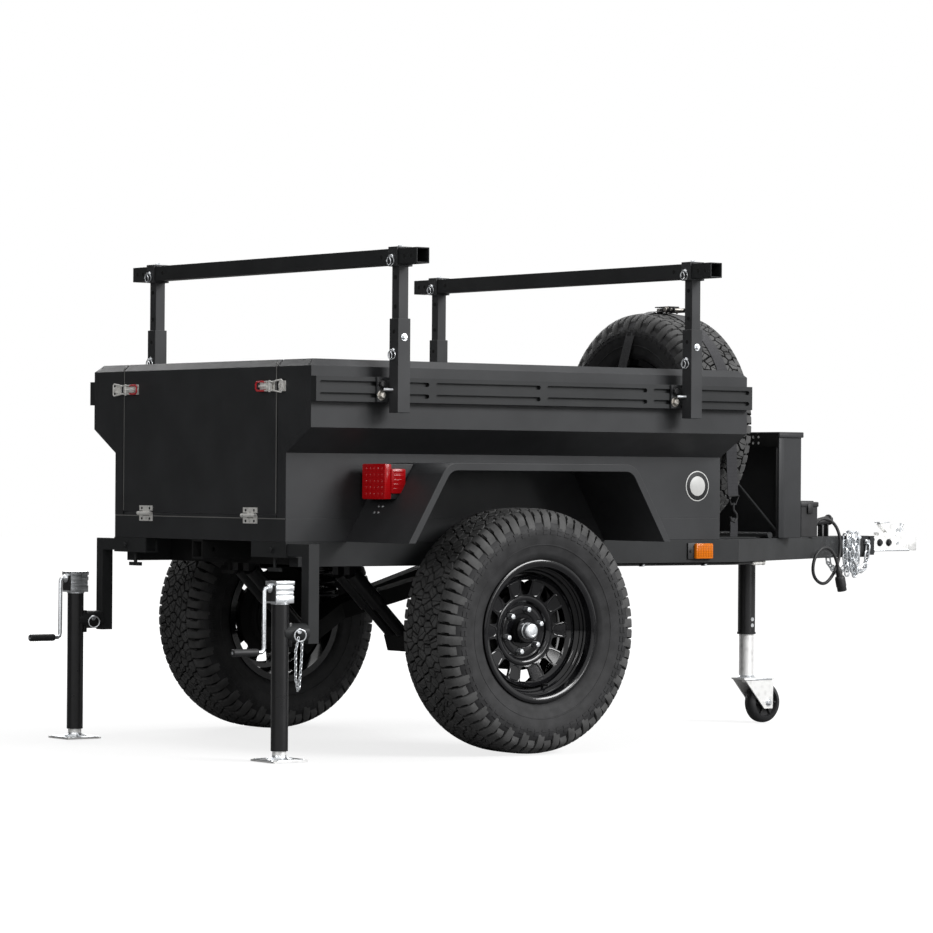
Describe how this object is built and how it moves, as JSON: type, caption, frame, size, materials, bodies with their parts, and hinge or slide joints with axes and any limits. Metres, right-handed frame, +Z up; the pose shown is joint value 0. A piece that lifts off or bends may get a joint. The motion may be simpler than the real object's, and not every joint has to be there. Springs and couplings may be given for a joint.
{
  "type": "off-road trailer",
  "caption": "Black off-road utility trailer with flared open load bed, drop tailgate, rack bars on side rails, all-terrain wheels, upright spare, crank jacks and ball coupler.",
  "frame": {"origin": "on the ground, midway along the overall length and width", "axes": "+X forward to the coupler, +Y to the trailer's left, +Z up"},
  "size_m": [3.54, 1.7392, 1.6375],
  "materials": {
    "chassis": "satin black powder coat",
    "body": "satin black powder coat",
    "rack": "satin black powder coat",
    "tyre": "black rubber",
    "rim": "gloss black",
    "zinc": "zinc plated",
    "steel": "stainless",
    "spring": "gloss black",
    "red_lens": "red lens",
    "amber_lens": "amber lens",
    "plastic": "black plastic",
    "webbing": "woven strap",
    "cable": "black jacket"
  },
  "bodies": {
    "trailer": {"frame_rails": "chassis", "tongue_arms": "chassis", "crossmembers": "chassis", "tongue_tube": "chassis", "bed_floor": "body", "side_wall_left": "body", "side_wall_right": "body", "front_wall": "body", "rear_corners": "body", "hinge_sill_leaves": "steel", "latch_keepers": "zinc", "fender_left": "body", "fender_right": "body", "tail_lamp_housings": "plastic", "tail_lamp_lenses": "red_lens", "marker_lamps": "amber_lens", "track_rails": "rack", "rack_sleeves": "rack", "rack_uprights": "rack", "rack_bars": "rack", "tyre_spare": "tyre", "rim_spare": "rim", "axle_spindles": "chassis", "trailing_arms": "chassis", "coil_springs": "spring", "shock_absorbers": "chassis", "receiver_tube": "chassis", "jack_sleeves": "chassis", "jack_arms": "chassis", "rear_jack_tubes": "chassis", "rear_jack_heads": "zinc", "jack_crossplate": "chassis", "front_jack_tube": "chassis", "front_jack_head": "zinc", "spare_deck": "chassis", "spare_strap": "webbing", "front_locker": "body", "locker_bar": "chassis", "battery_box": "plastic", "coupler": "zinc", "coupler_latch": "zinc", "safety_chains": "zinc", "brake_cables": "cable", "harness_cable": "cable", "harness_plug": "plastic"},
    "wheel_left": {"tyre_left": "tyre", "rim_left": "rim", "hub_left": "zinc"},
    "wheel_right": {"tyre_right": "tyre", "rim_right": "rim", "hub_right": "zinc"},
    "tailgate": {"tailgate_panel": "body", "tailgate_hinge_leaves": "steel", "tailgate_latches": "zinc"},
    "front_leg": {"front_jack_leg": "zinc"},
    "caster_swivel": {"caster_fork": "zinc"},
    "caster_roller": {"caster_wheel": "plastic"},
    "rear_leg_left": {"rear_jack_leg_left": "zinc"},
    "rear_leg_right": {"rear_jack_leg_right": "zinc"}
  },
  "joints": [
    {"name": "wheel_left_spin", "type": "hinge", "parent": "trailer", "child": "wheel_left", "pos_m": [-0.719, 0.7336, 0.4015], "axis": [0, 1, 0], "continuous": true},
    {"name": "wheel_right_spin", "type": "hinge", "parent": "trailer", "child": "wheel_right", "pos_m": [-0.719, -0.7336, 0.4015], "axis": [0, 1, 0], "continuous": true},
    {"name": "tailgate_hinge", "type": "hinge", "parent": "trailer", "child": "tailgate", "pos_m": [-1.506, 0, 0.773], "axis": [0, -1, 0], "range_deg": [0, 180]},
    {"name": "front_jack_slide", "type": "slide", "parent": "trailer", "child": "front_leg", "axis": [0, 0, 1], "range_m": [0, 0.15]},
    {"name": "caster_turn", "type": "hinge", "parent": "front_leg", "child": "caster_swivel", "pos_m": [0.922, 0, 0.17], "axis": [0, 0, 1], "continuous": true},
    {"name": "caster_spin", "type": "hinge", "parent": "caster_swivel", "child": "caster_roller", "pos_m": [1.002, 0, 0.075], "axis": [0, 1, 0], "continuous": true},
    {"name": "rear_jack_left_slide", "type": "slide", "parent": "trailer", "child": "rear_leg_left", "axis": [0, 0, 1], "range_m": [-0.35, 0]},
    {"name": "rear_jack_right_slide", "type": "slide", "parent": "trailer", "child": "rear_leg_right", "axis": [0, 0, 1], "range_m": [-0.35, 0]}
  ]
}
